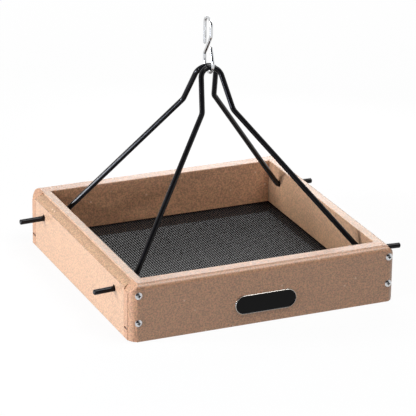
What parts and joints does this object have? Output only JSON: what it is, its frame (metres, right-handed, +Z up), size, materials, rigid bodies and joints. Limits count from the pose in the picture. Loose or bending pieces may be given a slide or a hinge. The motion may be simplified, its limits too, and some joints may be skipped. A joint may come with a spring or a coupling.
{
  "type": "platform bird feeder",
  "caption": "Hanging platform feeder: square plastic-board tray with a screen floor, two black wire hangers and a metal S-hook at the top.",
  "frame": {"origin": "under the middle of the tray, on the plane that the boards stand on", "axes": "+X to the right along the front board, +Y from the front board to the back board, +Z up towards the hook"},
  "size_m": [0.3906, 0.3346, 0.315],
  "materials": {
    "end_boards": "speckled tan recycled plastic lumber, fine matte grain",
    "side_boards": "speckled tan recycled plastic lumber, fine matte grain",
    "screen": "black coated woven screen",
    "hanger_wire": "black powder coat, satin",
    "hook": "bright zinc plate",
    "plate": "gloss black field with a bright rim, bare of lettering",
    "screws": "zinc-plated pan head"
  },
  "bodies": {
    "feeder": {"front_board": "end_boards", "back_board": "end_boards", "left_board": "side_boards", "right_board": "side_boards", "screen_floor": "screen", "front_hanger": "hanger_wire", "back_hanger": "hanger_wire", "name_plate": "plate", "front_screws": "screws", "back_screws": "screws"},
    "hook": {"hanging_hook": "hook"}
  },
  "joints": [
    {"name": "hook_swing", "type": "hinge", "parent": "feeder", "child": "hook", "pos_m": [-0.0025, 0, 0.26001], "axis": [1, 0, 0], "range_deg": [-50, 50]}
  ]
}
